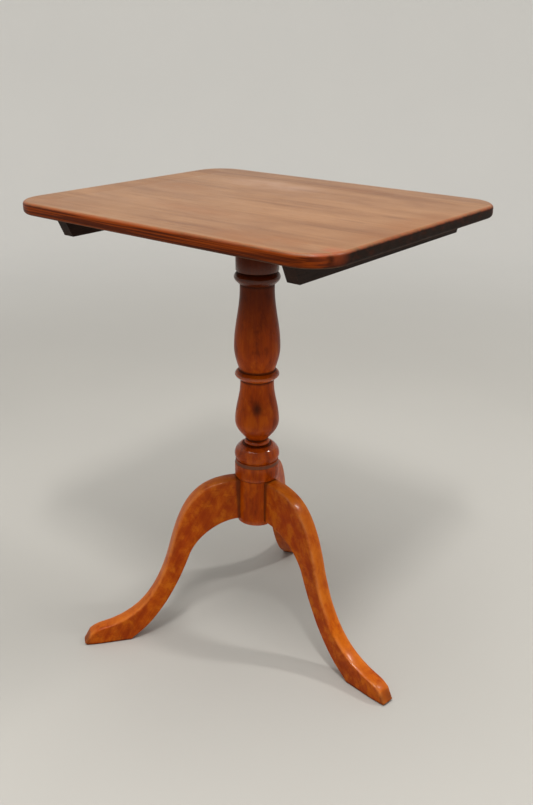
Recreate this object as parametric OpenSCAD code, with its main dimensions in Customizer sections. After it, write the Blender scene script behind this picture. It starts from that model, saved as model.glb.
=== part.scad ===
// Tilt top table: a one-board rectangular top on two bearers, pivoting on a
// block at the head of a turned column with three dovetailed legs.
// Origin on the floor under the column. +X runs along the top's grain,
// +Y runs along the bearers, towards the pivot, and +Z is up.

/* [Overall] */
// Height of the top's upper surface above the floor
table_height = 700; // [580:5:860]

/* [Top board] */
// Length of the top, along its grain
top_length = 536; // [440:1:660]
// Width of the top, across its grain
top_width = 440; // [366:1:530]
// Thickness of the top board
top_thickness = 17; // [14:0.5:24]
// Radius of the four corners, seen from above
corner_radius = 50; // [20:1:90]
// Rounding of the top's upper and lower arrises
arris_radius = 4.8; // [1:0.1:6]

/* [Bearers] */
// Width of each bearer
bearer_width = 18; // [15:0.5:26]
// Depth of each bearer below the top
bearer_depth = 31; // [26:0.5:40]
// Distance from the end of the top to the middle of the bearer
bearer_inset = 71; // [60:1:110]
// Distance from the top's front edge to the bearer's front end
bearer_front_inset = 30; // [15:1:45]
// Distance from the top's back edge to the bearer's back end
bearer_back_inset = 4; // [2:1:30]
// How far each bearer end is undercut
bearer_undercut = 14; // [4:1:24]
// Rounding of the bearer's lower end corners
bearer_nose = 3; // [1:0.5:6]
// Number of screws in each bearer
bearer_screw_count = 3; // [2:1:5]
// Distance from a bearer's end to its first screw
bearer_screw_inset = 40; // [30:1:60]
// Diameter of the bearer screws' shanks
bearer_screw_d = 4.4; // [3:0.1:6]
// How far the bearer screws bite into the top
screw_bite = 9; // [5:0.5:11]
// Depth of the hole that sinks each bearer screw's head
screw_sink = 14; // [4:0.5:18]

/* [Tilt block] */
// Size of the block from front to back
block_length = 150; // [120:1:200]
// Thickness of the block
block_thickness = 30; // [24:0.5:40]
// Bevel along the block's lower front edge
block_bevel = 8; // [2:0.5:10]
// Distance from the top's underside down to the pivot, and from the pivot to the stop face
pivot_drop = 15; // [11:0.5:18]
// Diameter of the two pivot pins
pivot_pin_d = 10; // [6:0.5:12]
// Length of each pin inside the block
pin_in_block = 32; // [20:1:50]
// Length of each pin inside its bearer
pin_in_bearer = 12; // [8:0.5:13]

/* [Column] */
// Diameter of the plain base that holds the legs
base_d = 64; // [58:1:76]
// How far the base reaches below the legs
base_drop = 7; // [3:1:20]
// Diameter of the drum above the legs
drum_d = 69; // [60:0.5:84]
// Height of the drum
drum_height = 23; // [14:0.5:34]
// Rounding of the drum's lower edge
drum_round = 3; // [1:0.5:6]
// Depth of the sunk band above the drum
band_depth = 1.2; // [0.5:0.1:3]
// Height of the sunk band above the drum
band_height = 6.5; // [3:0.5:12]
// Height of the round moulding above the band
torus_height = 25; // [20:0.5:30]
// Largest diameter of that moulding
torus_d = 69.5; // [62:0.5:84]
// Height of its widest place above its foot
torus_crown = 8; // [4:0.5:12]
// Diameter of its shoulder, below the small collar
shoulder_d = 42; // [41:0.5:52]
// Diameter of the small collar on that shoulder
collar_d = 39; // [34:0.5:40]
// Height of that collar
collar_height = 7; // [4:0.5:9]
// Diameter at the narrowest place, under the lower vase
waist_d = 30; // [26:0.5:33]
// Largest diameter of the lower vase
lower_belly_d = 67.5; // [56:0.5:84]
// Largest diameter of the upper vase
upper_belly_d = 69; // [56:0.5:84]
// Diameter of both vases' necks
neck_d = 51; // [40:0.5:58]
// Diameter of the sharp ring between the vases
ring_d = 67.5; // [58:0.5:84]
// Height of the sharp ring between the vases
ring_height = 14; // [10:0.5:24]
// Height of the bead over the upper vase
bead_height = 18; // [10:0.5:24]
// Diameter of that bead
bead_d = 68; // [58:0.5:84]
// Diameter of the plain head under the block
head_d = 63; // [56:0.5:76]
// Height of the plain head under the block
head_height = 51; // [20:1:80]
// The lower vase's share of the two vases' height
lower_vase_share = 0.43; // [0.35:0.01:0.6]
// How far up the lower vase its widest place lies, as a share
lower_belly_share = 0.31; // [0.25:0.01:0.45]
// How far up the upper vase its widest place lies, as a share
upper_belly_share = 0.27; // [0.2:0.01:0.4]
// Diameter of the tenon through the block
tenon_d = 36; // [26:1:44]

/* [Legs] */
// Thickness of each leg
leg_thickness = 26; // [20:0.5:28]
// Height of the legs' tops where they meet the column
leg_top = 274; // [250:1:300]
// Height of the leg where it meets the column
leg_root = 70; // [62:1:80]
// Distance from the column's axis to a toe
toe_reach = 288; // [240:1:345]
// Length of the flat sole
sole_length = 79; // [60:1:95]
// Height of the toe's upper edge
toe_height = 26; // [18:0.5:34]
// Turn of the legs about the column, from the grain direction
leg_turn = -7.5; // [-30:0.5:30]
// Distance from the column's axis to the outside of the shin
shin_reach = 142; // [120:1:170]
// Height of that place on the shin
shin_height = 162; // [140:1:185]
// Depth of the leg across the shin
shin_depth = 33; // [26:0.5:40]
// Length of the dovetail tongue on each leg
tongue_length = 58; // [40:1:60]
// How far the tongue reaches into the column
tongue_depth = 13; // [9:0.5:16]
// Width of the tongue at the leg
tongue_neck = 11; // [8:0.5:13]
// Width of the tongue at its inner edge
tongue_width = 16; // [13:0.5:18]

/* [Catch] */
// Width of the catch's mounting plate
catch_plate_width = 38; // [34:1:50]
// Length of the catch's mounting plate
catch_plate_length = 50; // [48:1:64]
// Thickness of the brass sheet
sheet = 1.6; // [1:0.1:2]
// Gap between the block's front face and the catch
catch_gap = 2; // [1.5:0.1:4]
// Width of the bolt
bolt_width = 10; // [7:0.5:12]
// Height of the bolt
bolt_height = 6; // [5:0.1:8]
// Length of the bolt's solid body
bolt_length = 22; // [18:0.5:24]
// Distance from the top's underside to the middle of the bolt
bolt_drop = 10; // [9:0.5:12]
// Travel of the bolt
bolt_travel = 6; // [4:0.5:6]
// Length of the case
case_length = 40; // [38:1:46]
// Height of the space inside the case, below its plate
case_room = 12.4; // [11.5:0.1:15]
// Diameter of the knob
knob_d = 11; // [8:0.5:14]
// Wire diameter of the catch's spring
spring_wire = 0.8; // [0.6:0.1:1]
// Outside diameter of the catch's spring
spring_d = 6.8; // [5.5:0.1:7]
// Number of turns in the catch's spring
spring_turns = 6; // [4:1:8]
// Width of the keeper plate
keeper_width = 34; // [30:1:40]
// Height of the keeper plate
keeper_height = 15; // [13:0.5:17]

/* [Fits] */
// Gap between the top's underside and the block's faces
rest_gap = 0.1; // [0.05:0.05:0.5]
// Gap between each bearer and the block's end
side_gap = 1; // [0.5:0.1:2]
// Radial running clearance of a pivot pin in its bearer
pivot_clearance = 0.08; // [0.03:0.01:0.1]
// Gap around glued, driven or screwed pieces
seat_gap = 0.05; // [0.02:0.01:0.1]
// Gap around the sliding bolt
slide_gap = 0.25; // [0.15:0.05:0.5]

/* [Hidden] */
$fn = 72;
slop = 1; // how far a cutting shape runs past a face

// Colours
top_color = "peru";
base_color = "sienna";
dark_color = "saddlebrown";
brass_color = "goldenrod";
steel_color = "silver";

// Heights
underside_z = table_height - top_thickness;
block_top_z = underside_z - rest_gap;
block_bottom_z = block_top_z - block_thickness;
pivot_z = underside_z - pivot_drop;
base_bottom_z = leg_top - leg_root - base_drop;
drum_z = leg_top + seat_gap;
bolt_z = underside_z - bolt_drop;

// Places along Y
block_back_y = block_length / 2;
block_front_y = -block_length / 2;
pivot_y = block_back_y - pivot_drop + rest_gap;
catch_front_y = block_front_y - catch_gap;
bearer_front_y = -top_width / 2 + bearer_front_inset;
bearer_back_y = top_width / 2 - bearer_back_inset;

// Places along X
bearer_x = top_length / 2 - bearer_inset;
block_width = 2 * (bearer_x - bearer_width / 2 - side_gap);

// Catch
case_inside = bolt_width + 2 * slide_gap;
case_width = case_inside + 2 * sheet;
case_bottom_z = underside_z - sheet - case_room;
bolt_nose_y = catch_front_y + 0.4;
bolt_back_y = bolt_nose_y - bolt_length;
case_back_y = catch_front_y - case_length;
spring_room = bolt_back_y - (case_back_y + sheet);
tail_d = 3;
tail_run_out = 1;
stem_d = 3.2;
stem_y = bolt_nose_y - bolt_length * 0.55;
stem_seat = 4;
keeper_depth = sheet;
mortise_depth = bolt_travel - catch_gap + 4;
keeper_screw_x = keeper_width / 2 - 4.5;
catch_screw_x = catch_plate_width / 2 - 5;
catch_screw_inset = 7;
small_screw_d = 2.6;
catch_screw_length = 10;
keeper_screw_length = 13;

// Small steps of the turned outline
neck_run = 7; // short plain run of each vase's neck, below its moulding
base_bevel = 2;
drum_bevel = 0.4;
torus_lift = 0.3;
torus_foot = 2.5; // how far the torus starts inside its widest line
collar_lift = 0.5;
collar_foot = 2; // how far the collar starts inside its widest line
collar_gap = 1.5; // hollow between the collar and the lower vase
hollow_lift = 0.7;
hollow_step = 0.5;
belly_flat = 1;
ring_foot = 1.5; // how far the ring and the upper vase start outside the neck
bead_foot = 4; // how far the top bead starts inside the head
head_lift = 0.5;

// Handles of the leg's two side curves
knee_run = 66;
outer_knee_pull = 83;
outer_calf_pull = 98;
instep_pull = 54;
inner_knee_pull = 30;
inner_calf_pull = 52;
root_run = 36;
instep_back = 29; // from the toe's tip back to the top of the foot
root_bury = 4; // how far the blank of a leg runs into the base
knee_start = 2;
shin_way = 207; // across the shin, from its outer line to its inner one
outer_way = -75; // down along the shin's outer line
inner_way = -70; // down along the shin's inner line
instep_way = 169; // back up along the foot
instep_rise = 3; // the instep's height above the toe
foot_pull = 9;
brow_back = 11; // from the toe's tip back to the start of its slope
brow_drop = 5;
brow_pull = [-3, 2];
tip_back = 1;
tip_height = 5;
sole_round = 3;
heel_tip = [-1, 4]; // end of the shin's inner line, from the heel
heel_pull = [-46, 34];

// Wedge in the tenon
wedge_top = 4;
wedge_tip = 1.6;
wedge_depth = 22;
tenon_recess = 0.4; // the tenon's end lies this much below the block's face
tenon_top_z = block_top_z - tenon_recess;

// ---------------------------------------------------------------- outlines

function arc(x, y, r, from, to, steps = 12) =
    [for (i = [0:steps]) let (a = from + (to - from) * i / steps)
        [x + r * cos(a), y + r * sin(a)]];

// Cubic curve between two points with a handle at each end
function curve(p, p_handle, q_handle, q, steps = 14) =
    [for (i = [0:steps]) let (t = i / steps, s = 1 - t)
        s * s * s * p + 3 * s * s * t * p_handle
            + 3 * s * t * t * q_handle + t * t * t * q];

// Swelling from one radius to another, steep at first and level at the end
function swell(z0, r0, z1, r1, steps = 10) =
    [for (i = [0:steps]) let (t = i / steps)
        [r0 + (r1 - r0) * sin(90 * t), z0 + (z1 - z0) * t]];

// Easy curve from one radius to another, level at both ends
function ease(z0, r0, z1, r1, steps = 14) =
    [for (i = [0:steps]) let (t = i / steps)
        [r0 + (r1 - r0) * (1 - cos(180 * t)) / 2, z0 + (z1 - z0) * t]];

// Half-round moulding that stands out from one radius to another
function bead(z0, z1, r_root, r_crown, steps = 10) =
    [for (i = [0:steps]) let (t = i / steps)
        [r_root + (r_crown - r_root) * sin(180 * t), z0 + (z1 - z0) * t]];

// Quarter of an ellipse, upright at its start and level at its end
function quarter(r0, z0, r1, z1, steps = 12) =
    [for (i = [1:steps]) let (a = 90 * i / steps)
        [r1 + (r0 - r1) * cos(a), z0 + (z1 - z0) * sin(a)]];

function polar(a) = [cos(a), sin(a)];

// ---------------------------------------------------------------- fastenings

// Countersunk wood screw, head up, with its head's face at the origin
module wood_screw(d, length, grow = 0) {
    head_h = d * 0.55;
    tip_h = d * 1.2;
    translate([0, 0, -head_h])
        cylinder(h = head_h + (grow > 0 ? slop : 0), d1 = d + 2 * grow,
            d2 = 2 * d + 2 * grow + (grow > 0 ? slop * d / head_h : 0));
    translate([0, 0, tip_h - length - grow])
        cylinder(h = length - tip_h - head_h / 2 + grow, d = d + 2 * grow);
    translate([0, 0, -length - grow])
        cylinder(h = tip_h, d1 = d * 0.3 + grow, d2 = d + 2 * grow);
}

module slotted_screw(d, length) {
    difference() {
        wood_screw(d, length);
        translate([-d * 1.2, -d * 0.12, -d * 0.22])
            cube([d * 2.4, d * 0.24, d]);
    }
}

// ---------------------------------------------------------------- base

// Upper part of the column's outline, from the drum to the head
function turning() =
    let (
        band_z = drum_z + drum_height,
        torus_z = band_z + band_height,
        shoulder_z = torus_z + torus_height,
        lower_z = shoulder_z + collar_height + collar_gap,
        head_z = block_bottom_z - head_height,
        bead_z = head_z - bead_height,
        vases = bead_z - ring_height - lower_z,
        ring_z = lower_z + vases * lower_vase_share,
        upper_z = ring_z + ring_height,
        lower_belly_z = lower_z + (ring_z - lower_z) * lower_belly_share,
        lower_neck_z = ring_z - neck_run,
        upper_belly_z = upper_z + (bead_z - upper_z) * upper_belly_share,
        upper_neck_z = bead_z - neck_run
    )
    concat(
        arc(drum_d / 2 - drum_round, drum_z + drum_round, drum_round, -90, 0, 6),
        [[drum_d / 2, band_z - drum_bevel], [drum_d / 2 - drum_bevel, band_z],
            [drum_d / 2 - band_depth, torus_z]],
        swell(torus_z + torus_lift, torus_d / 2 - torus_foot,
            torus_z + torus_crown, torus_d / 2, 6),
        quarter(torus_d / 2, torus_z + torus_crown, shoulder_d / 2, shoulder_z),
        bead(shoulder_z + collar_lift, shoulder_z + collar_height,
            collar_d / 2 - collar_foot, collar_d / 2, 6),
        [[waist_d / 2 + hollow_step, shoulder_z + collar_height + hollow_lift]],
        swell(lower_z, waist_d / 2, lower_belly_z, lower_belly_d / 2),
        ease(lower_belly_z + belly_flat, lower_belly_d / 2, lower_neck_z, neck_d / 2),
        bead(ring_z, upper_z, neck_d / 2 + ring_foot, ring_d / 2),
        swell(upper_z + belly_flat, neck_d / 2 + ring_foot,
            upper_belly_z, upper_belly_d / 2),
        ease(upper_belly_z + belly_flat, upper_belly_d / 2, upper_neck_z, neck_d / 2),
        bead(bead_z, head_z, head_d / 2 - bead_foot, bead_d / 2),
        [[head_d / 2, head_z + head_lift], [head_d / 2, block_bottom_z]]
    );

module column() {
    color(base_color)
    difference() {
        rotate_extrude()
            polygon(concat(
                [[0, base_bottom_z], [base_d / 2 - base_bevel, base_bottom_z],
                    [base_d / 2, base_bottom_z + base_bevel], [base_d / 2, drum_z]],
                turning(),
                [[tenon_d / 2, block_bottom_z], [tenon_d / 2, tenon_top_z],
                    [0, tenon_top_z]]
            ));
        for (k = [0:2])
            rotate([0, 0, leg_turn + 120 * k])
                translate([0, 0, base_bottom_z - slop])
                    linear_extrude(leg_top - leg_root + tongue_length
                            - base_bottom_z + slop + seat_gap)
                        tongue_outline(seat_gap, slop);
        wedge_solid(seat_gap, tenon_d + 2 * slop);
    }
}

// Dovetail seen from above: its inner edge is wider than its neck
module tongue_outline(gap, past) {
    inner_r = base_d / 2 - tongue_depth;
    outer_r = base_d / 2 + past;
    flare = (tongue_width - tongue_neck) / tongue_depth / 2;
    neck_half = tongue_neck / 2 - flare * past;
    polygon([
        [inner_r - gap, -tongue_width / 2 - gap],
        [outer_r, -neck_half - gap],
        [outer_r, neck_half + gap],
        [inner_r - gap, tongue_width / 2 + gap]
    ]);
}

// Leg seen from the side, with the column's axis at x = 0
module leg_outline() {
    root_r = base_d / 2 - root_bury;
    root_bottom = leg_top - leg_root;
    heel_r = toe_reach - sole_length;
    outside = [shin_reach, shin_height];
    heel = [heel_r, 0];
    inside = outside + shin_depth * polar(shin_way);
    instep = [toe_reach - instep_back, toe_height + instep_rise];
    toe_brow = [toe_reach - brow_back, toe_height - brow_drop];
    outside_way = polar(outer_way);
    inside_way = polar(inner_way);
    foot_way = polar(instep_way);
    polygon(concat(
        [[root_r, root_bottom], [root_r, leg_top]],
        curve([base_d / 2 + knee_start, leg_top], [base_d / 2 + knee_run, leg_top],
            outside - outer_knee_pull * outside_way, outside),
        curve(outside, outside + outer_calf_pull * outside_way,
            instep + instep_pull * foot_way, instep),
        curve(instep, instep - foot_pull * foot_way,
            toe_brow + brow_pull, toe_brow, 5),
        [[toe_reach - tip_back, tip_height]],
        arc(toe_reach - sole_round, sole_round, sole_round, 0, -90, 4),
        arc(heel_r + sole_round, sole_round, sole_round, 270, 225, 3),
        curve(heel + heel_tip, heel + heel_pull,
            inside + inner_calf_pull * inside_way, inside),
        curve(inside, inside - inner_knee_pull * inside_way,
            [base_d / 2 + root_run, root_bottom], [base_d / 2, root_bottom])
    ));
}

module leg(turn) {
    color(base_color)
    rotate([0, 0, turn]) {
        difference() {
            rotate([90, 0, 0])
                translate([0, 0, -leg_thickness / 2])
                    linear_extrude(leg_thickness)
                        leg_outline();
            translate([0, 0, base_bottom_z])
                cylinder(h = leg_top, d = base_d + 2 * seat_gap);
        }
        translate([0, 0, leg_top - leg_root])
            linear_extrude(tongue_length)
                tongue_outline(0, slop);
    }
}

module leg_front() {
    leg(leg_turn);
}

module leg_rear() {
    leg(leg_turn + 120);
}

module leg_left() {
    leg(leg_turn + 240);
}

// Block seen from the side: its top back corner is round about the pivot
module block_outline() {
    r = pivot_drop - rest_gap;
    polygon(concat(
        [[block_front_y, block_top_z],
            [block_front_y, block_bottom_z + block_bevel],
            [block_front_y + block_bevel, block_bottom_z],
            [pivot_y + r, block_bottom_z]],
        arc(pivot_y, pivot_z, r, 0, 90)
    ));
}

module tilt_block() {
    color(dark_color)
    difference() {
        rotate([90, 0, 90])
            translate([0, 0, -block_width / 2])
                linear_extrude(block_width)
                    block_outline();
        translate([0, 0, block_bottom_z - slop])
            cylinder(h = block_thickness + 2 * slop, d = tenon_d + 2 * seat_gap);
        for (side = [-1, 1])
            pin_solid(side, seat_gap);
        keeper_seat();
        keeper_screw_places()
            wood_screw(small_screw_d, keeper_screw_length, seat_gap);
    }
}

// Tapered wedge across the tenon, along the grain of the block
module wedge_solid(gap, length) {
    rotate([90, 0, 90])
        translate([0, 0, -length / 2])
            linear_extrude(length)
                polygon([
                    [-wedge_top / 2 - gap, tenon_top_z + (gap > 0 ? slop : 0)],
                    [-wedge_top / 2 - gap, tenon_top_z],
                    [-wedge_tip / 2 - gap, tenon_top_z - wedge_depth - gap],
                    [wedge_tip / 2 + gap, tenon_top_z - wedge_depth - gap],
                    [wedge_top / 2 + gap, tenon_top_z],
                    [wedge_top / 2 + gap, tenon_top_z + (gap > 0 ? slop : 0)]
                ]);
}

module tenon_wedge() {
    color("burlywood")
        wedge_solid(0, tenon_d - 2);
}

// Pivot pin on one side, lying along X
module pin_solid(side, gap) {
    inner = block_width / 2 - pin_in_block;
    outer = block_width / 2 + side_gap + pin_in_bearer;
    translate([side > 0 ? inner - gap : -outer, pivot_y, pivot_z])
        rotate([0, 90, 0])
            cylinder(h = outer - inner + gap, d = pivot_pin_d + 2 * gap);
}

module pivot_pin(side) {
    color(steel_color)
        pin_solid(side, 0);
}

module pivot_pin_left() {
    pivot_pin(-1);
}

module pivot_pin_right() {
    pivot_pin(1);
}

// ---------------------------------------------------------------- keeper

// Recess for the keeper plate, and the mortise behind its slot
module keeper_seat() {
    seat_w = keeper_width + 2 * seat_gap;
    seat_h = keeper_height + 2 * seat_gap;
    mortise_w = bolt_width + 2 * slide_gap;
    mortise_h = bolt_height + 2 * slide_gap;
    translate([-seat_w / 2, block_front_y - slop, bolt_z - seat_h / 2])
        cube([seat_w, keeper_depth + seat_gap + slop, seat_h]);
    translate([-mortise_w / 2, block_front_y, bolt_z - mortise_h / 2])
        cube([mortise_w, mortise_depth, mortise_h]);
}

module keeper_screw_places() {
    for (side = [-1, 1])
        translate([side * keeper_screw_x, block_front_y, bolt_z])
            rotate([90, 0, 0])
                children();
}

module keeper_plate() {
    slot_w = bolt_width + 2 * slide_gap;
    slot_h = bolt_height + 2 * slide_gap;
    color(brass_color)
    difference() {
        translate([-keeper_width / 2, block_front_y, bolt_z - keeper_height / 2])
            cube([keeper_width, keeper_depth, keeper_height]);
        translate([-slot_w / 2, block_front_y - slop, bolt_z - slot_h / 2])
            cube([slot_w, keeper_depth + 2 * slop, slot_h]);
        keeper_screw_places()
            wood_screw(small_screw_d, keeper_screw_length, seat_gap);
    }
}

module keeper_screws() {
    color(brass_color)
    keeper_screw_places()
        slotted_screw(small_screw_d, keeper_screw_length);
}

// ---------------------------------------------------------------- top

// Edge seen in section: flat inside, both arrises rounded outside
module edge_section() {
    reach = corner_radius - arris_radius;
    polygon(concat(
        [[0, 0]],
        arc(reach, arris_radius, arris_radius, -90, 0, 8),
        arc(reach, top_thickness - arris_radius, arris_radius, 0, 90, 8),
        [[0, top_thickness]]
    ));
}

module board_blank() {
    straight_x = top_length - 2 * corner_radius;
    straight_y = top_width - 2 * corner_radius;
    union() {
        translate([-straight_x / 2, -straight_y / 2, 0])
            cube([straight_x, straight_y, top_thickness]);
        for (k = [0:3]) {
            side = [straight_x, straight_y][k % 2];
            across = [straight_y, straight_x][k % 2];
            rotate([0, 0, 90 * k])
                translate([side / 2, across / 2, 0])
                    rotate_extrude(angle = 90)
                        edge_section();
            rotate([0, 0, 90 * k])
                translate([side / 2, across / 2, 0])
                    rotate([90, 0, 0])
                        linear_extrude(across)
                            edge_section();
        }
    }
}

module bearer_screw_places() {
    first = bearer_front_y + bearer_screw_inset;
    last = bearer_back_y - bearer_screw_inset;
    step = (last - first) / (bearer_screw_count - 1);
    for (side = [-1, 1])
        for (i = [0:bearer_screw_count - 1])
            translate([side * bearer_x, first + step * i,
                    underside_z - bearer_depth + screw_sink])
                rotate([180, 0, 0])
                    children();
}

module bearer_screw_solid(grow) {
    wood_screw(bearer_screw_d, bearer_depth - screw_sink + screw_bite, grow);
}

module catch_screw_places() {
    for (side = [-1, 1])
        for (y = [catch_front_y - catch_screw_inset,
                catch_front_y - catch_plate_length + catch_screw_inset])
            translate([side * catch_screw_x, y, underside_z - sheet])
                rotate([180, 0, 0])
                    children();
}

module top_board() {
    color(top_color)
    difference() {
        translate([0, 0, underside_z])
            board_blank();
        bearer_screw_places()
            bearer_screw_solid(seat_gap);
        catch_screw_places()
            wood_screw(small_screw_d, catch_screw_length, seat_gap);
    }
}

// Bearer seen from the side: both ends undercut, their lower corners eased
module bearer_outline() {
    bottom = underside_z - bearer_depth;
    lean = atan2(bearer_depth, bearer_undercut);
    ease_in = bearer_nose / tan((180 - lean) / 2);
    front = bearer_front_y + bearer_undercut + ease_in;
    back = bearer_back_y - bearer_undercut - ease_in;
    polygon(concat(
        [[bearer_front_y, underside_z]],
        arc(front, bottom + bearer_nose, bearer_nose, 90 + lean + 90, 270, 5),
        arc(back, bottom + bearer_nose, bearer_nose, 270, 360 - lean, 5),
        [[bearer_back_y, underside_z]]
    ));
}

module bearer(side) {
    color(dark_color)
    difference() {
        translate([side * bearer_x - bearer_width / 2, 0, 0])
            rotate([90, 0, 90])
                linear_extrude(bearer_width)
                    bearer_outline();
        pivot_socket(side);
        bearer_screw_places()
            bearer_screw_solid(seat_gap);
        bearer_screw_places()
            cylinder(h = screw_sink + slop, d = 2 * bearer_screw_d + 1);
    }
}

// Blind hole in the bearer's inner side, a little deeper than the pin
module pivot_socket(side) {
    mouth = bearer_x - bearer_width / 2 - slop;
    depth = pin_in_bearer + slop + side_gap / 2;
    translate([side > 0 ? mouth : -mouth - depth, pivot_y, pivot_z])
        rotate([0, 90, 0])
            cylinder(h = depth, d = pivot_pin_d + 2 * pivot_clearance);
}

module bearer_left() {
    bearer(-1);
}

module bearer_right() {
    bearer(1);
}

module bearer_screws() {
    color(steel_color)
    bearer_screw_places()
        slotted_screw(bearer_screw_d, bearer_depth - screw_sink + screw_bite);
}

// ---------------------------------------------------------------- catch

module catch_plate() {
    color(brass_color)
    difference() {
        translate([-catch_plate_width / 2, catch_front_y - catch_plate_length,
                underside_z - sheet])
            cube([catch_plate_width, catch_plate_length, sheet]);
        catch_screw_places()
            wood_screw(small_screw_d, catch_screw_length, seat_gap);
    }
}

module catch_screws() {
    color(brass_color)
    catch_screw_places()
        slotted_screw(small_screw_d, catch_screw_length);
}

// Box around the bolt: a slot in front, a hole behind and a slot below
module catch_case() {
    slot_w = stem_d + 2 * slide_gap;
    slot_back_y = stem_y - slot_w / 2;
    color(brass_color)
    difference() {
        translate([-case_width / 2, case_back_y, case_bottom_z - sheet])
            cube([case_width, case_length, case_room + sheet]);
        translate([-case_inside / 2, case_back_y + sheet, case_bottom_z])
            cube([case_inside, case_length - 2 * sheet, case_room + slop]);
        translate([-bolt_width / 2 - slide_gap, catch_front_y - sheet - slop,
                bolt_z - bolt_height / 2 - slide_gap])
            cube([bolt_width + 2 * slide_gap, sheet + 2 * slop,
                bolt_height + 2 * slide_gap]);
        translate([0, case_back_y - slop, bolt_z])
            rotate([-90, 0, 0])
                cylinder(h = sheet + 2 * slop, d = tail_d + 2 * slide_gap);
        translate([-slot_w / 2, slot_back_y, case_bottom_z - sheet - slop])
            cube([slot_w, bolt_travel + slot_w, sheet + 2 * slop]);
    }
}

// Bolt drawn back, its nose bevelled above, with a tail for the spring
module catch_bolt() {
    nose = bolt_height * 0.5;
    tail_end_y = case_back_y - tail_run_out - bolt_travel;
    color(brass_color)
    difference() {
        union() {
            rotate([90, 0, 90])
                translate([0, 0, -bolt_width / 2])
                    linear_extrude(bolt_width)
                        polygon([
                            [bolt_back_y, bolt_z - bolt_height / 2],
                            [bolt_nose_y, bolt_z - bolt_height / 2],
                            [bolt_nose_y, bolt_z + bolt_height / 2 - nose],
                            [bolt_nose_y - nose, bolt_z + bolt_height / 2],
                            [bolt_back_y, bolt_z + bolt_height / 2]
                        ]);
            translate([0, tail_end_y, bolt_z])
                rotate([-90, 0, 0])
                    cylinder(h = bolt_back_y - tail_end_y + slop, d = tail_d);
        }
        translate([0, stem_y, bolt_z - bolt_height / 2 - slop])
            cylinder(h = stem_seat + slop + seat_gap, d = stem_d + 2 * seat_gap);
    }
}

// Stem screwed up into the bolt, with a turned knob below the case
module catch_knob() {
    stem_top_z = bolt_z - bolt_height / 2 + stem_seat;
    knob_top_z = case_bottom_z - sheet - 1;
    knob_h = knob_d * 0.7;
    color(brass_color)
    translate([0, stem_y, 0])
        rotate_extrude()
            polygon(concat(
                [[0, stem_top_z], [0, knob_top_z - knob_h]],
                arc(knob_d / 2 - knob_h / 2, knob_top_z - knob_h / 2,
                    knob_h / 2, -90, 70),
                [[stem_d / 2, knob_top_z], [stem_d / 2, stem_top_z]]
            ));
}

// Coil around the bolt's tail, swept as a tube with round ends left open
module catch_spring() {
    sides = 8;
    steps = 16 * spring_turns;
    coil_r = (spring_d - spring_wire) / 2;
    wire_r = spring_wire / 2;
    y0 = case_back_y + sheet + wire_r + seat_gap;
    rise = spring_room - spring_wire - 2 * seat_gap;
    rings = [for (i = [0:steps])
        let (a = 360 * spring_turns * i / steps, y = y0 + rise * i / steps)
        for (j = [0:sides - 1])
            let (b = 360 * j / sides, r = coil_r + wire_r * cos(b))
            [r * cos(a), y + wire_r * sin(b), bolt_z + r * sin(a)]];
    walls = [for (i = [0:steps - 1]) for (j = [0:sides - 1])
        let (n = (j + 1) % sides)
        [i * sides + j, i * sides + n, (i + 1) * sides + n, (i + 1) * sides + j]];
    color(steel_color)
    polyhedron(
        points = rings,
        faces = concat(
            [[for (j = [sides - 1:-1:0]) j]],
            walls,
            [[for (j = [0:sides - 1]) steps * sides + j]]
        ),
        convexity = 8
    );
}

column();
leg_left();
leg_front();
leg_rear();
tilt_block();
tenon_wedge();
pivot_pin_left();
pivot_pin_right();
keeper_plate();
keeper_screws();
top_board();
bearer_left();
bearer_right();
bearer_screws();
catch_plate();
catch_case();
catch_screws();
catch_spring();
catch_bolt();
catch_knob();
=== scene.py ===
import math

import bmesh
import bpy
from mathutils import Matrix, Vector, noise


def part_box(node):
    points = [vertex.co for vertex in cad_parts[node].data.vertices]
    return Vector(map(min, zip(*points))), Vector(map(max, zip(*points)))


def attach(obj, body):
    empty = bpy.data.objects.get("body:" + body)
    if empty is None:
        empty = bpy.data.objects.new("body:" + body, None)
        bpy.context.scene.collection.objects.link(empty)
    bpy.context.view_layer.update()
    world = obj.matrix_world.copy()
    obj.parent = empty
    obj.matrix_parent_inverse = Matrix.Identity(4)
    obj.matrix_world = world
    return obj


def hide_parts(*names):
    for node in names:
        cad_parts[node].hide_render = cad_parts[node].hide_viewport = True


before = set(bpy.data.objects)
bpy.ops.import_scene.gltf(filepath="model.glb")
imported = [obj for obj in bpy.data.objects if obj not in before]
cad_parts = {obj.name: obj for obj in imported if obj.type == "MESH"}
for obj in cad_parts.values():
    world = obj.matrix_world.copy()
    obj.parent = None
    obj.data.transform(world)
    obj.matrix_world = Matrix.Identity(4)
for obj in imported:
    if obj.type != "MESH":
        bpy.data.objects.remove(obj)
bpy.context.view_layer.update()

mm = 0.001
print("frame loaded:", len(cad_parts), "nodes")


# ---- material helpers

def clamp(value):
    return max(0, min(1, value))


def tone(red, green, blue):  # a colour as a paint chart gives it, turned into light values
    def one(value):
        value /= 255
        return value / 12.92 if value < 0.04045 else ((value + 0.055) / 1.055) ** 2.4
    return (one(red), one(green), one(blue), 1)


class Wire:  # one value on its way through a material
    def __init__(self, finish, socket):
        self.finish, self.socket = finish, socket

    def join(self, operation, first, second):
        return self.finish.add("ShaderNodeMath", {"operation": operation}, {0: first, 1: second})

    def __add__(self, other): return self.join("ADD", self, other)
    def __radd__(self, other): return self.join("ADD", other, self)
    def __sub__(self, other): return self.join("SUBTRACT", self, other)
    def __rsub__(self, other): return self.join("SUBTRACT", other, self)
    def __mul__(self, other): return self.join("MULTIPLY", self, other)
    def __rmul__(self, other): return self.join("MULTIPLY", other, self)


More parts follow.
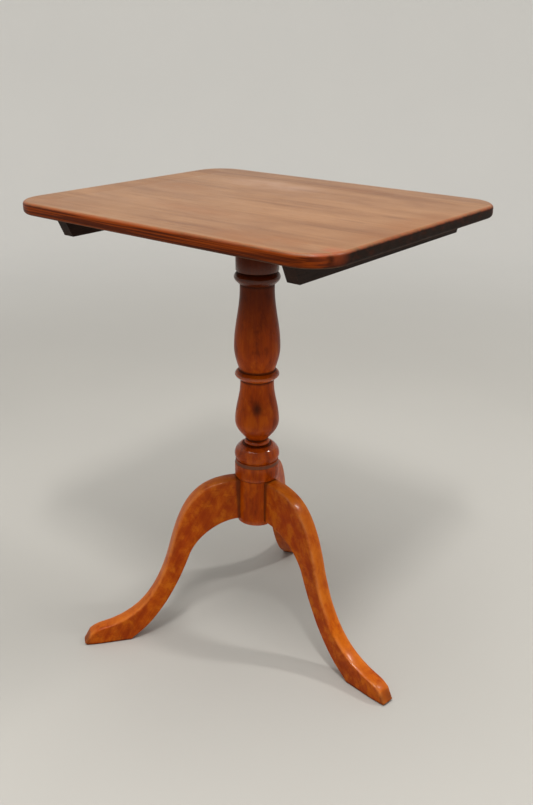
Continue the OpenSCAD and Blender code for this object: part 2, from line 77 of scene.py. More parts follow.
class Finish:  # one material and its nodes
    def __init__(self, name):
        self.material = bpy.data.materials.new(name)
        self.material.use_nodes = True
        self.tree = self.material.node_tree
        self.shader = self.tree.nodes["Principled BSDF"]

    def add(self, kind, settings=None, inputs=None, output=0):
        node = self.tree.nodes.new(kind)
        for key, value in (settings or {}).items():
            if key == "stops":
                ramp = node.color_ramp.elements
                while len(ramp) < len(value):
                    ramp.new(0.5)
                for stop, (place, colour) in zip(ramp, value):
                    stop.position, stop.color = place, colour
            else:
                setattr(node, key, value)
        for key, value in (inputs or {}).items():
            self.feed(node.inputs[key], value)
        return Wire(self, node.outputs[output])

    def feed(self, socket, value):
        if isinstance(value, Wire):
            self.tree.links.new(value.socket, socket)
        else:
            socket.default_value = value

    def mix(self, factor, first, second):  # colours
        return self.add("ShaderNodeMix", {"data_type": "RGBA"}, {0: factor, 6: first, 7: second}, output=2)

    def place(self, turn=(0, 0, 0), stretch=(1, 1, 1), shift=(0, 0, 0), along=None):
        if along is None:
            along = self.add("ShaderNodeTexCoord", output="Object")
        return self.add("ShaderNodeMapping", None,
                        {"Vector": along, "Rotation": turn, "Scale": stretch, "Location": shift})

    def cloud(self, where, detail, rough=0.5, warp=0):  # its size comes from where's stretch
        return self.add("ShaderNodeTexNoise", None,
                        {"Vector": where, "Scale": 1, "Detail": detail,
                         "Roughness": rough, "Distortion": warp})

    def fade(self, value, low, high, start=0, end=1):  # smooth step between two levels
        return self.add("ShaderNodeMapRange", {"interpolation_type": "SMOOTHSTEP"},
                        {"Value": value, "From Min": low, "From Max": high,
                         "To Min": start, "To Max": end})

    def painted(self, name):  # a value kept on the mesh
        return self.add("ShaderNodeAttribute", {"attribute_name": name}, output="Fac")

    def spot(self, centre, reach):  # 1 in the middle of a blot, 0 beyond its reach
        local = self.place(shift=tuple(-c / r for c, r in zip(centre, reach)),
                           stretch=tuple(1 / r for r in reach))
        away = self.add("ShaderNodeVectorMath", {"operation": "LENGTH"}, {0: local}, output=1)
        return self.fade(away, 1, 0.15)

    def relief(self, height, depth):
        normal = self.add("ShaderNodeBump", None, {"Strength": 1.0, "Distance": depth, "Height": height})
        self.feed(self.shader.inputs["Normal"], normal)

    def close(self, colour, roughness, **fixed):
        self.feed(self.shader.inputs["Base Color"], colour)
        self.feed(self.shader.inputs["Roughness"], roughness)
        for key, value in fixed.items():
            self.feed(self.shader.inputs[key.replace("_", " ")], value)
        return self.material


# ---- mesh helpers

def smooth(mesh, creaseAngle):
    for polygon in mesh.polygons:
        polygon.use_smooth = True
    mesh.set_sharp_from_angle(angle=math.radians(creaseAngle))


def paint(mesh, values):  # named values kept on the mesh's points
    for name, worth in values.items():
        layer = mesh.attributes.new(name, "FLOAT", "POINT")
        for point, value in zip(layer.data, worth):
            point.value = value


def makePiece(name, points, faces, materials, creaseAngle=40, values=None):
    mesh = bpy.data.meshes.new(name)
    mesh.from_pydata(points, [], faces)
    mesh.validate()
    piece = bpy.data.objects.new(name, mesh)
    bpy.context.scene.collection.objects.link(piece)
    for material in materials:
        mesh.materials.append(material)
    bm = bmesh.new()
    bm.from_mesh(mesh)
    bmesh.ops.recalc_face_normals(bm, faces=bm.faces)
    bm.to_mesh(mesh)
    bm.free()
    smooth(mesh, creaseAngle)
    paint(mesh, values or {})
    return piece


def circle(radius, height, count):
    turns = [2 * math.pi * i / count for i in range(count)]
    return [(radius * math.cos(a), radius * math.sin(a), height) for a in turns]


def bridgeRings(rings, closeEnd=True):  # rings of equally many points, in order
    points = [p for ring in rings for p in ring]
    n = len(rings[0])
    faces = []
    for k in range(len(rings) - 1):
        for i in range(n):
            j = (i + 1) % n
            faces.append((k * n + i, k * n + j, (k + 1) * n + j, (k + 1) * n + i))
    faces.append(tuple(range(n - 1, -1, -1)))
    if closeEnd:
        faces.append(tuple((len(rings) - 1) * n + i for i in range(n)))
    return points, faces


def softenCad(name, material, width, creaseAngle=35):  # a CAD node kept, with its arrises eased
    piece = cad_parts[name]
    piece.data.materials.clear()
    piece.data.materials.append(material)
    if width:
        bevel = piece.modifiers.new("easedArris", "BEVEL")
        bevel.width, bevel.segments = width, 3
        bevel.limit_method, bevel.angle_limit = "ANGLE", math.radians(creaseAngle)
        bevel.use_clamp_overlap = True
    smooth(piece.data, creaseAngle)


def curvePoints(p, pHandle, qHandle, q, steps):
    made = []
    for i in range(steps + 1):
        t = i / steps
        s = 1 - t
        made.append(tuple(s ** 3 * p[k] + 3 * s * s * t * pHandle[k] + 3 * s * t * t * qHandle[k]
                          + t ** 3 * q[k] for k in range(2)))
    return made


def polar(angle, length):
    return (length * math.cos(math.radians(angle)), length * math.sin(math.radians(angle)))


def plus(a, b):
    return (a[0] + b[0], a[1] + b[1])


# ---- wood

def woodFinish(name, look, extras=None):
    finish = Finish(name)
    turn = look["turn"]
    body = finish.place(turn)  # grain along X from here on
    drift = finish.cloud(finish.place(stretch=(3, 9, 9), along=body), 2)
    wavy = finish.add("ShaderNodeVectorMath", {"operation": "ADD"},
                      {0: body, 1: finish.add("ShaderNodeCombineXYZ", None,
                                              {"Y": (drift - 0.5) * look["wander"],
                                               "Z": (drift - 0.5) * look["wander"]})})
    bands = finish.cloud(finish.place(stretch=look["bands"], along=wavy), 3, 0.55, 0.3)
    lines = finish.cloud(finish.place(stretch=look["lines"], along=wavy), 3, 0.6)
    fibres = finish.cloud(finish.place(stretch=look["fibres"], along=wavy), 2, 0.6)
    pores = finish.fade(finish.cloud(finish.place(stretch=look["pores"], along=wavy), 1), 0.63, 0.72)
    blotch = finish.cloud(finish.place(stretch=look["blotches"], along=body), 3, 0.6, 0.4)
    level = finish.fade(bands * 0.6 + lines * 0.4, 0.3, 0.7)
    colour = finish.add("ShaderNodeValToRGB",
                        {"stops": [(0, look["deep"]), (0.45, look["mid"]), (1, look["pale"])]},
                        {"Fac": level})
    patches = finish.fade(blotch, 0.45, 0.75, 0, look["blotchWeight"])
    colour = finish.mix(patches, colour, look["blotch"])
    colour = finish.mix(finish.fade(fibres, 0.35, 0.7, look["fibreWeight"], 0), colour, look["deep"])
    colour = finish.mix(pores * look["poreWeight"], colour, look["poreColour"])
    smears = finish.cloud(finish.place(stretch=(26, 40, 40), along=body), 3, 0.6)
    roughness = look["roughness"] + (smears - 0.5) * look["smear"] + pores * 0.1
    height = fibres * 0.5 + lines * 0.4 - pores * 0.8
    if extras:
        colour, roughness, height = extras(finish, colour, roughness, height)
    finish.relief(height, look["depth"])
    coat = look["coat"]
    if "coatFollows" in look:  # more varnish left on some parts than on others
        place, gain = look["coatFollows"]
        coat = coat + finish.painted(place) * gain
    return finish.close(colour, roughness, Coat_Weight=coat, Coat_Roughness=look["coatRoughness"],
                        Specular_IOR_Level=look["shine"])


# ---- camera, light and floor

def setStudio():
    spot = {"at": (0.7839, -0.9538, 0.9156), "heading": 38.75, "pitch": 22.83, "roll": 0.37,
            "lens": 39.29, "sensor": 36}
    heading, pitch, roll = (math.radians(spot[k]) for k in ("heading", "pitch", "roll"))
    ahead = Vector((-math.sin(heading) * math.cos(pitch), math.cos(heading) * math.cos(pitch),
                    -math.sin(pitch)))
    right = Vector((math.cos(heading), math.sin(heading), 0))
    up = right.cross(ahead)
    tiltedRight = right * math.cos(roll) + up * math.sin(roll)
    tiltedUp = up * math.cos(roll) - right * math.sin(roll)
    camera = bpy.data.objects.new("camera", bpy.data.cameras.new("camera"))
    camera.data.lens, camera.data.sensor_width = spot["lens"], spot["sensor"]
    turned = Matrix((tiltedRight, tiltedUp, -ahead)).transposed().to_4x4()
    camera.matrix_world = Matrix.Translation(spot["at"]) @ turned
    bpy.context.scene.collection.objects.link(camera)
    bpy.context.scene.camera = camera

    # a round sweep, so that every side of the table has the same plain ground behind it
    room = {"floor": tone(176, 175, 171), "cloud": tone(169, 168, 165), "glow": (0.215, 0.212, 0.205, 1),
            "radius": 3.4, "bend": 0.7, "height": 3.6, "glowFrom": 1.1, "glowTo": 3.0, "segments": 96,
            "crease": 80, "lampColour": (1.0, 0.965, 0.92),
            "skyColour": (1.0, 0.985, 0.96, 1), "skyPower": 0.2,
            "lamps": [("overhead", (0.1, -0.3, 2.7), (0, 0, 0.4), 62, 2.4, 2.4),
                      ("lampFront", (0.67, -0.82, 2.5), (0, 0, 0.4), 25, 0.14, 0.45),
                      ("lampBack", (1.46, 1.19, 2.5), (0, 0, 0.5), 25, 0.14, 0.45)]}
    floor = Finish("studioFloor")
    patches = floor.cloud(floor.place(stretch=(2, 2, 2)), 2)
    away = floor.add("ShaderNodeVectorMath", {"operation": "LENGTH"}, {0: floor.place()}, output=1)
    glow = floor.mix(floor.fade(away, room["glowFrom"], room["glowTo"]), (0, 0, 0, 1), room["glow"])
    floor.close(floor.mix(floor.fade(patches, 0.3, 0.7, 0, 0.25), room["floor"], room["cloud"]), 0.75,
                Emission_Color=glow, Emission_Strength=1.0)
    profile = [(room["radius"] * f, 0) for f in (0.02, 0.15, 0.3, 0.5, 0.65)]
    profile += [(room["radius"] - room["bend"] * (1 - math.sin(a)), room["bend"] * (1 - math.cos(a)))
                for a in (math.radians(9 * k) for k in range(11))]
    profile += [(room["radius"], room["height"] * f) for f in (0.5, 0.75, 1)]
    rings = [circle(distance, height, room["segments"]) for distance, height in profile]
    points, faces = bridgeRings(rings, closeEnd=False)
    makePiece("studioSweep", points, faces, [floor.material], room["crease"])

    for name, at, towards, power, wide, long in room["lamps"]:
        lamp = bpy.data.lights.new(name, "AREA")
        lamp.shape, lamp.size, lamp.size_y, lamp.energy = "RECTANGLE", wide, long, power
        lamp.color = room["lampColour"]
        holder = bpy.data.objects.new(name, lamp)
        holder.location = at
        holder.rotation_euler = (Vector(towards) - Vector(at)).to_track_quat("-Z", "Y").to_euler()
        bpy.context.scene.collection.objects.link(holder)
    world = bpy.data.worlds.new("softRoom")
    world.use_nodes = True
    sky = world.node_tree.nodes["Background"].inputs
    sky["Color"].default_value, sky["Strength"].default_value = room["skyColour"], room["skyPower"]
    bpy.context.scene.world = world
    bpy.context.scene.view_settings.view_transform = "Standard"


setStudio()
print("camera, light and floor set")


# ---- top board

topBoard = {
    "arris": 4.8, "corner": 50,  # mm
    "cornerSteps": 22, "sideStep": 6, "arrisSteps": 7, "waver": 0.35, "scuff": 0.5,
    "dents": [(268, -12, 5, 0.9), (268, 96, 3.5, 0.7), (262, -196, 6, 0.8), (-120, -220, 5, 0.5),
              (60, -220, 4, 0.6), (-252, -190, 4, 0.6), (150, 220, 5, 0.6), (-268, 60, 4, 0.5)],
    "look": {"turn": (0, 0, 0), "wander": 0.012, "bands": (2.6, 22, 22), "lines": (3.8, 120, 120),
             "fibres": (12, 620, 620), "pores": (34, 800, 800), "blotches": (5, 11, 11),
             "pale": tone(145, 105, 70), "mid": tone(132, 92, 57), "deep": tone(102, 62, 30),
             "blotch": tone(116, 77, 46), "blotchWeight": 0.8, "fibreWeight": 0.25,
             "poreColour": tone(92, 52, 30), "poreWeight": 0.3, "roughness": 0.45, "smear": 0.2,
             "depth": 0.00012, "coat": 0.6, "coatRoughness": 0.32, "shine": 0.08,
             "coatFollows": ("edge", -0.6)},
    "edge": tone(126, 51, 2), "edgeDeep": tone(72, 24, 1), "endGrain": tone(26, 12, 5),
    "amber": tone(122, 72, 28), "reddish": tone(142, 62, 30), "sheenGrey": tone(158, 128, 112),
    "under": tone(96, 68, 46), "sawn": tone(78, 52, 34),
    "insetsAbove": (46, 30, 16, 9, 6), "insetsBelow": (8, 20, 46), "crease": 40,
    # blots: middle and reach in metres, and for lists of them how strong each is
    "warmPatches": [((0.16, -0.19, 0.7), (0.13, 0.05, 0.1), 0.7),
                    ((0.25, -0.02, 0.7), (0.045, 0.17, 0.1), 0.55),
                    ((-0.02, -0.10, 0.7), (0.15, 0.035, 0.1), 0.4),
                    ((-0.20, -0.19, 0.7), (0.12, 0.04, 0.1), 0.45),
                    ((-0.17, 0.02, 0.7), (0.09, 0.05, 0.1), 0.4),
                    ((0.05, 0.17, 0.7), (0.12, 0.03, 0.1), 0.3)],
    "darkStreaks": [((-0.12, 0.055, 0.7), (0.075, 0.010, 0.1), 0.55),
                    ((0.04, 0.115, 0.7), (0.11, 0.012, 0.1), 0.42),
                    ((0.21, 0.02, 0.7), (0.035, 0.010, 0.1), 0.6),
                    ((0.185, -0.035, 0.7), (0.05, 0.006, 0.1), 0.45),
                    ((-0.20, -0.03, 0.7), (0.06, 0.012, 0.1), 0.3),
                    ((0.0, -0.09, 0.7), (0.16, 0.008, 0.1), 0.25)],
    # the pale grey patch is a painted sheen on the top
    "sheenPatch": ((-0.07, 0.12, 0.7), (0.12, 0.05, 0.1)),
    "warmEnd": ((0.262, 0.212, 0.69), (0.03, 0.04, 0.1)),
    "knot": ((0.232, -0.206, 0.688), (0.016, 0.016, 0.012)),
    "redCorner": ((0.252, -0.188, 0.695), (0.03, 0.03, 0.02)),
}


def outlineOf(length, width, corner, cornerSteps, sideStep):  # points with their outward directions
    made = []
    corners = [(1, 1, 0), (-1, 1, 90), (-1, -1, 180), (1, -1, 270)]
    for index, (sx, sy, start) in enumerate(corners):
        cx, cy = sx * (length / 2 - corner), sy * (width / 2 - corner)
        for i in range(cornerSteps + 1):
            a = math.radians(start + 90 * i / cornerSteps)
            made.append(((cx + corner * math.cos(a), cy + corner * math.sin(a)), (math.cos(a), math.sin(a))))
        nx, ny, nextStart = corners[(index + 1) % 4]
        a = math.radians(nextStart)
        begin, way = made[-1]
        end = (nx * (length / 2 - corner) + corner * math.cos(a),
               ny * (width / 2 - corner) + corner * math.sin(a))
        count = int(math.dist(begin, end) / sideStep)
        for f in (i / count for i in range(1, count)):
            made.append(((begin[0] + (end[0] - begin[0]) * f, begin[1] + (end[1] - begin[1]) * f), way))
    return made


def topExtras(finish, colour, roughness, height):
    edge = finish.painted("edge")
    end = finish.painted("endGrain")
    under = finish.painted("under")
    rub = finish.painted("rub")
    spread = finish.cloud(finish.place(stretch=(16, 22, 22)), 3, 0.6, 0.5)
    # a pale grey patch on the top: a painted sheen
    sheenGrey = finish.spot(*topBoard["sheenPatch"]) * finish.fade(spread, 0.3, 0.7)
    colour = finish.mix(sheenGrey * 0.5, colour, topBoard["sheenGrey"])
    for centre, reach, weight in topBoard["warmPatches"]:  # where the polish has gone amber
        blot = finish.spot(centre, reach) * finish.fade(spread, 0.2, 0.6)
        colour = finish.mix(blot * weight, colour, topBoard["amber"])
    for centre, reach, weight in topBoard["darkStreaks"]:
        blot = finish.spot(centre, reach) * finish.fade(spread, 0.25, 0.6)
        colour = finish.mix(blot * weight, colour, topBoard["look"]["deep"])
    layers = finish.cloud(finish.place(stretch=(5, 60, 420)), 3, 0.55, 0.2)
    side = finish.mix(finish.fade(layers, 0.42, 0.6), topBoard["edgeDeep"], topBoard["edge"])
    grime = finish.cloud(finish.place(stretch=(60, 60, 120)), 3, 0.65)
    endColour = finish.mix(finish.fade(grime, 0.45, 0.8, 0, 0.5), topBoard["endGrain"], topBoard["edgeDeep"])
    endColour = finish.mix(finish.spot(*topBoard["warmEnd"]) * 0.7, endColour, topBoard["edge"])
    side = finish.mix(end, side, endColour)
    side = finish.mix(finish.spot(*topBoard["knot"]) * 0.9, side, topBoard["edgeDeep"])
    red = finish.spot(*topBoard["redCorner"])
    colour = finish.mix(edge, colour, side)
    colour = finish.mix(red * finish.fade(spread, 0.3, 0.6) * 0.7, colour, topBoard["reddish"])
    colour = finish.mix(rub * finish.fade(grime, 0.35, 0.6) * 0.35, colour, topBoard["reddish"])
    saw = finish.cloud(finish.place(stretch=(160, 8, 8)), 2)
    rough = finish.mix(finish.fade(saw, 0.3, 0.7), topBoard["under"], topBoard["sawn"])
    colour = finish.mix(under, colour, rough)
    roughness = roughness + edge * -0.04 + end * 0.12 + under * 0.3
    height = height + end * grime * 2 + under * saw * 1.5
    return colour, roughness, height


def buildTop():
    size = topBoard
    low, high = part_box("top_board")
    length, width, thick = ((high[k] - low[k]) / mm for k in range(3))
    outline = outlineOf(length, width, size["corner"], size["cornerSteps"], size["sideStep"])
    r = size["arris"]
    turns = [math.radians(90 * i / size["arrisSteps"]) for i in range(size["arrisSteps"] + 1)]
    section = [(inset, thick) for inset in size["insetsAbove"]]  # inset, height
    section += [(r - r * math.sin(a), thick - r + r * math.cos(a)) for a in turns]
    section.append((0, thick / 2))
    section += [(r - r * math.cos(a), r - r * math.sin(a)) for a in turns]
    section += [(inset, 0) for inset in size["insetsBelow"]]
    rings, edge, endGrain, under, rub = [], [], [], [], []
    for inset, height in section:
        ring = []
        upper = height > thick / 2
        sideways = clamp((6 - inset) / 3)  # wear moves the edge only
        for (x, y), (wx, wy) in outline:
            slack = size["waver"] * (0.5 + 0.5 * noise.noise(Vector((x / 60, y / 60, 3)))) \
                + size["scuff"] * max(0, noise.noise(Vector((x / 9, y / 9, height / 9)))) ** 2
            for dx, dy, reach, depth in size["dents"]:
                away = math.dist((x, y), (dx, dy)) / reach
                slack += depth * max(0, 1 - away * away) * (1 if upper else 0.3)
            slack *= sideways
            drop = 0.06 * (0.5 + 0.5 * noise.noise(Vector((x / 90, y / 90, 9)))) if inset > 5 else 0
            z = height - drop if upper else height + drop
            z += -slack * 0.35 if height > thick - 2 else 0
            ring.append(((x - wx * (inset + slack)) * mm, (y - wy * (inset + slack)) * mm, low[2] + z * mm))
            edge.append(clamp((thick - height) / 3.0) if upper else 1)
            endGrain.append(clamp((abs(wx) - 0.74) / 0.2))
            under.append(1 if height < 2 and inset > 1.5 else 0)
            rub.append(1 if 0.2 < inset < 4 and upper else 0)
        rings.append(ring)
    points, faces = bridgeRings(rings)
    finish = woodFinish("topWood", size["look"], topExtras)
    piece = makePiece("tableTop", points, faces, [finish], size["crease"],
                      {"edge": edge, "endGrain": endGrain, "under": under, "rub": rub})
    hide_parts("top_board")
    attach(piece, "top")


buildTop()
print("top board made")


# ---- column

column = {
    "segments": 120,
    "baseBottom": 197, "baseWidth": 64, "baseBevel": 2.5, "baseCentre": 5,
    "drumBottom": 274.05, "drumWidth": 69, "drumHeight": 23, "drumRound": 3,
    "bandDepth": 1.2, "bandHeight": 6.5, "torusHeight": 25, "torusWidth": 69.5, "torusCrown": 8,
    "shoulderWidth": 42, "collarWidth": 39, "collarHeight": 7, "collarGap": 1.5,
    "waistWidth": 30, "lowerBelly": 67.5, "upperBelly": 69, "neckWidth": 51,
    "ringWidth": 67.5, "ringHeight": 14, "beadHeight": 18, "beadWidth": 68,
    "headWidth": 63, "headHeight": 51, "lowerShare": 0.43, "lowerBellyShare": 0.31,
    "upperBellyShare": 0.27, "neckRun": 7, "tenonWidth": 36, "tenonTop": 682.5,
    "tongueDepth": 13, "tongueNeck": 11, "tongueWidth": 16, "tongueTop": 262.05,
    "wedgeTop": 4, "wedgeTip": 1.6, "wedgeDepth": 22, "fit": 0.05,
    "look": {"turn": (0, math.radians(90), 0), "wander": 0.01, "bands": (3, 46, 46), "lines": (7, 190, 190),
             "fibres": (16, 700, 700), "pores": (40, 800, 800), "blotches": (9, 16, 16),
             "pale": tone(182, 76, 1), "mid": tone(164, 63, 1), "deep": tone(132, 46, 1),
             "blotch": tone(146, 50, 1), "blotchWeight": 0.5, "fibreWeight": 0.3,
             "poreColour": tone(70, 22, 4), "poreWeight": 0.35, "roughness": 0.3, "smear": 0.14,
             "depth": 0.0001, "coat": 0.04, "coatRoughness": 0.12, "shine": 0.07,
             "coatFollows": ("crest", 0.9)},
    "amber": tone(192, 88, 2), "smoke": tone(104, 34, 1), "stainAndShadow": tone(60, 20, 4),
    "creviceDirtAndShade": tone(50, 18, 4), "knot": tone(46, 18, 4), "jointAndSheen": tone(92, 68, 56),
    "knotOut": 0.0335, "knotTurn": -50, "knotHeight": 0.398, "knotReach": (0.0125, 0.0125, 0.017),
    "crease": 32, "lookAround": (-5, -3.5, -2, -1, 1, 2, 3.5, 5), "hollowFull": 1.6,
    "tallFrom": 330, "tallRun": 330, "bandMargin": (0.3, 0.6),
}


def bead(z0, z1, root, crown, steps):
    return [(root + (crown - root) * math.sin(math.pi * i / steps), z0 + (z1 - z0) * i / steps)
            for i in range(steps + 1)]


def roundUp(radius, bottom, bevel, angles):  # from a flat underside to an upright side
    return [(radius - bevel + bevel * math.sin(a), bottom + bevel - bevel * math.cos(a))
            for a in map(math.radians, angles)]


def swell(z0, r0, z1, r1, steps=16):
    return [(r0 + (r1 - r0) * math.sin(math.pi / 2 * i / steps), z0 + (z1 - z0) * i / steps)
            for i in range(steps + 1)]


def ease(z0, r0, z1, r1, steps=24):
    return [(r0 + (r1 - r0) * (1 - math.cos(math.pi * i / steps)) / 2, z0 + (z1 - z0) * i / steps)
            for i in range(steps + 1)]


def columnOutline():
    c = column
    base, drum, torus, shoulder, collar, waist, neck, ring, beadOut, head, tenon, lowBelly, highBelly = (
        c[key] / 2 for key in ("baseWidth", "drumWidth", "torusWidth", "shoulderWidth", "collarWidth",
                               "waistWidth", "neckWidth", "ringWidth", "beadWidth", "headWidth",
                               "tenonWidth", "lowerBelly", "upperBelly"))
    # heights of the turned members, from the drum up and from the block down
    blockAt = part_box("tilt_block")[0][2] / mm
    bottom, bandAt = c["baseBottom"], c["drumBottom"] + c["drumHeight"]
    torusAt = bandAt + c["bandHeight"]
    crownAt, shoulderAt = torusAt + c["torusCrown"], torusAt + c["torusHeight"]
    lowerAt = shoulderAt + c["collarHeight"] + c["collarGap"]
    headAt = blockAt - c["headHeight"]
    beadAt = headAt - c["beadHeight"]
    vases = beadAt - c["ringHeight"] - lowerAt
    ringAt = lowerAt + vases * c["lowerShare"]
    upperAt = ringAt + c["ringHeight"]
    lowBellyAt = lowerAt + (ringAt - lowerAt) * c["lowerBellyShare"]
    highBellyAt = upperAt + (beadAt - upperAt) * c["upperBellyShare"]

    made = [(base - c["baseCentre"], bottom), (base - c["baseBevel"], bottom)]
    made += roundUp(base, bottom, c["baseBevel"], (22, 45, 68, 90))
    made += [(base, z) for z in (205, 220, 235, 250, 262, 272, c["drumBottom"])]
    made += roundUp(drum, c["drumBottom"], c["drumRound"], range(0, 91, 15))
    made += [(drum, z) for z in (c["drumBottom"] + 7, c["drumBottom"] + 14, bandAt - 1.2)]
    made += [(drum - 0.1, bandAt - 0.3), (drum - 0.5, bandAt), (drum - 0.65, bandAt + 0.6),
             (drum - c["bandDepth"] + 0.1, torusAt - 0.9), (drum - c["bandDepth"], torusAt - 0.3)]
    made += swell(torusAt + 0.3, torus - 2.5, crownAt, torus, 8)
    made += [(shoulder + (c["torusWidth"] - c["shoulderWidth"]) / 2 * math.cos(a),
              crownAt + (shoulderAt - crownAt) * math.sin(a)) for a in map(math.radians, range(5, 91, 5))]
    made += bead(shoulderAt + 0.5, shoulderAt + c["collarHeight"], collar - 2, collar, 12)
    made += [(waist + 0.5, lowerAt - 0.8)]
    made += swell(lowerAt, waist, lowBellyAt, lowBelly)
    made += ease(lowBellyAt + 1, lowBelly, ringAt - c["neckRun"], neck)
    made += [(neck, ringAt - 1)]
    made += bead(ringAt, upperAt, neck + 1.5, ring, 18)
    made += swell(upperAt + 1, neck + 1.5, highBellyAt, highBelly)
    made += ease(highBellyAt + 1, highBelly, beadAt - c["neckRun"], neck, 30)
    made += [(neck, beadAt - 1)]
    made += bead(beadAt, headAt, head - 4, beadOut, 18)
    made += [(head - 0.4, headAt + 0.5), (head, headAt + 1.2)]
    made += [(head, blockAt - z) for z in (34, 20, 8, 0)]
    made += [(tenon, blockAt), (tenon, c["tenonTop"] - 0.5), (tenon - 0.5, c["tenonTop"])]
    return made


def columnExtras(finish, colour, roughness, height):
    dirt = finish.painted("dirt")
    crest = finish.painted("crest")
    tall = finish.painted("tall")  # 0 at the legs, 1 under the top
    cloud = finish.cloud(finish.place(stretch=(40, 40, 14)), 3, 0.6)
    # crests of the turning lighter: a painted highlight
    colour = finish.mix(crest * finish.fade(cloud, 0.35, 0.6) * 0.35, colour, column["look"]["pale"])
    mottle = finish.cloud(finish.place(stretch=(55, 55, 26)), 4, 0.6, 0.2)
    # amber mottling only on the lower column: real mottling, faded out upwards as part of the painted shadow
    # under the top
    low = 1 - finish.fade(tall, 0.4, 0.8)
    colour = finish.mix(finish.fade(mottle, 0.48, 0.68) * low * 0.6, colour, column["amber"])
    colour = finish.mix(finish.fade(mottle, 0.46, 0.34, 0, 0.55), colour, column["smoke"])
    # darker towards the top: a darker stain and the painted shadow of the top board
    stainAndShadow = finish.fade(tall + (cloud - 0.5) * 0.2, 0.4, 0.82, 0, 0.88)
    colour = finish.mix(stainAndShadow, colour, column["stainAndShadow"])
    knotAt = (*polar(column["knotTurn"], column["knotOut"]), column["knotHeight"])
    knot = finish.spot(knotAt, column["knotReach"])
    colour = finish.mix(knot * finish.fade(cloud, 0.1, 0.5) * 0.85, colour, column["knot"])
    # darker in the hollows of the turning: dirt and painted shade
    colour = finish.mix(finish.fade(dirt + (cloud - 0.5) * 0.3, 0.25, 0.9) * 0.75, colour, column["creviceDirtAndShade"])
    # the band between drum and torus greyish: a grey joint and a painted sheen
    band = finish.painted("band")
    colour = finish.mix(band * 0.75, colour, column["jointAndSheen"])
    roughness = roughness + dirt * 0.2 - crest * 0.05
    return colour, roughness, height


def wedgePrism(points, z0, z1):  # a prism from points seen from above
    n = len(points)
    made = [(x * mm, y * mm, z0 * mm) for x, y in points] + [(x * mm, y * mm, z1 * mm) for x, y in points]
    faces = [tuple(range(n - 1, -1, -1)), tuple(range(n, 2 * n))]
    faces += [(i, (i + 1) % n, (i + 1) % n + n, i + n) for i in range(n)]
    return made, faces


def buildColumn():
    c = column
    outline = columnOutline()
    points, faces = bridgeRings([circle(radius * mm, z * mm, c["segments"]) for radius, z in outline])
    finish = woodFinish("columnWood", c["look"], columnExtras)
    piece = makePiece("turnedColumn", points, faces, [finish], c["crease"])
    # sockets for the legs' tongues and the saw cut for the wedge
    cutPoints, cutFaces = [], []
    inner = c["baseWidth"] / 2 - c["tongueDepth"]
    flare = (c["tongueWidth"] - c["tongueNeck"]) / c["tongueDepth"] / 2
    for k in range(3):
        turn = math.radians(legs["turn"] + 120 * k)
        shape = [(inner - c["fit"], -c["tongueWidth"] / 2 - c["fit"]),
                 (c["baseWidth"] / 2 + 1, -c["tongueNeck"] / 2 + flare - c["fit"]),
                 (c["baseWidth"] / 2 + 1, c["tongueNeck"] / 2 - flare + c["fit"]),
                 (inner - c["fit"], c["tongueWidth"] / 2 + c["fit"])]
        shape = [(x * math.cos(turn) - y * math.sin(turn), x * math.sin(turn) + y * math.cos(turn))
                 for x, y in shape]
        made, sides = wedgePrism(shape, c["baseBottom"] - 1, c["tongueTop"])
        cutFaces += [tuple(i + len(cutPoints) for i in side) for side in sides]
        cutPoints += made
    half, top, gap = c["tenonWidth"] / 2 + 1, c["tenonTop"], c["fit"]
    wide, tip, low = c["wedgeTop"] / 2 + gap, c["wedgeTip"] / 2 + gap, top - c["wedgeDepth"] - gap
    across = [(-wide, top + 1), (-wide, top), (-tip, low), (tip, low), (wide, top), (wide, top + 1)]
    start = len(cutPoints)
    for x in (-half, half):
        cutPoints += [(x * mm, y * mm, z * mm) for y, z in across]
    n = len(across)
    cutFaces += [tuple(start + i for i in range(n)), tuple(start + n + i for i in range(n - 1, -1, -1))]
    cutFaces += [(start + i, start + i + n, start + (i + 1) % n + n, start + (i + 1) % n) for i in range(n)]
    cutter = makePiece("columnCutter", cutPoints, cutFaces, [])
    cut = piece.modifiers.new("sockets", "BOOLEAN")
    cut.operation, cut.object, cut.solver = "DIFFERENCE", cutter, "EXACT"
    seen = bpy.context.evaluated_depsgraph_get()
    finished = bpy.data.meshes.new_from_object(piece.evaluated_get(seen))
    piece.modifiers.clear()
    piece.data = finished
    bpy.data.objects.remove(cutter)
    smooth(finished, c["crease"])
    heights = [z for _, z in outline]
    radii = [r for r, _ in outline]

    def radiusAt(z):
        if z <= heights[0] or z >= heights[-1]:
            return radii[0]
        for k in range(len(heights) - 1):
            if heights[k] <= z <= heights[k + 1] and heights[k + 1] > heights[k]:
                f = (z - heights[k]) / (heights[k + 1] - heights[k])
                return radii[k] + (radii[k + 1] - radii[k]) * f
        return radii[0]

    table = {}
    values = {"dirt": [], "crest": [], "tall": [], "band": []}
    band = c["drumBottom"] + c["drumHeight"]
    bandFrom, bandTo = band + c["bandMargin"][0], band + c["bandHeight"] - c["bandMargin"][1]
    for vertex in finished.vertices:
        z = vertex.co.z / mm
        key = round(z, 1)
        if key not in table:
            near = [radiusAt(z + d) for d in c["lookAround"]]
            table[key] = sum(near) / len(near) - radiusAt(z)
        hollow = table[key] / c["hollowFull"]
        # hollows of the outline, for the dirt and painted shade in them
        values["dirt"].append(clamp(hollow))
        values["crest"].append(clamp(-hollow))
        values["tall"].append(clamp((z - c["tallFrom"]) / c["tallRun"]))
        values["band"].append(1 if bandFrom < z < bandTo else 0)
    paint(finished, values)
    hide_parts("column")
    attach(piece, "base")


# ---- legs

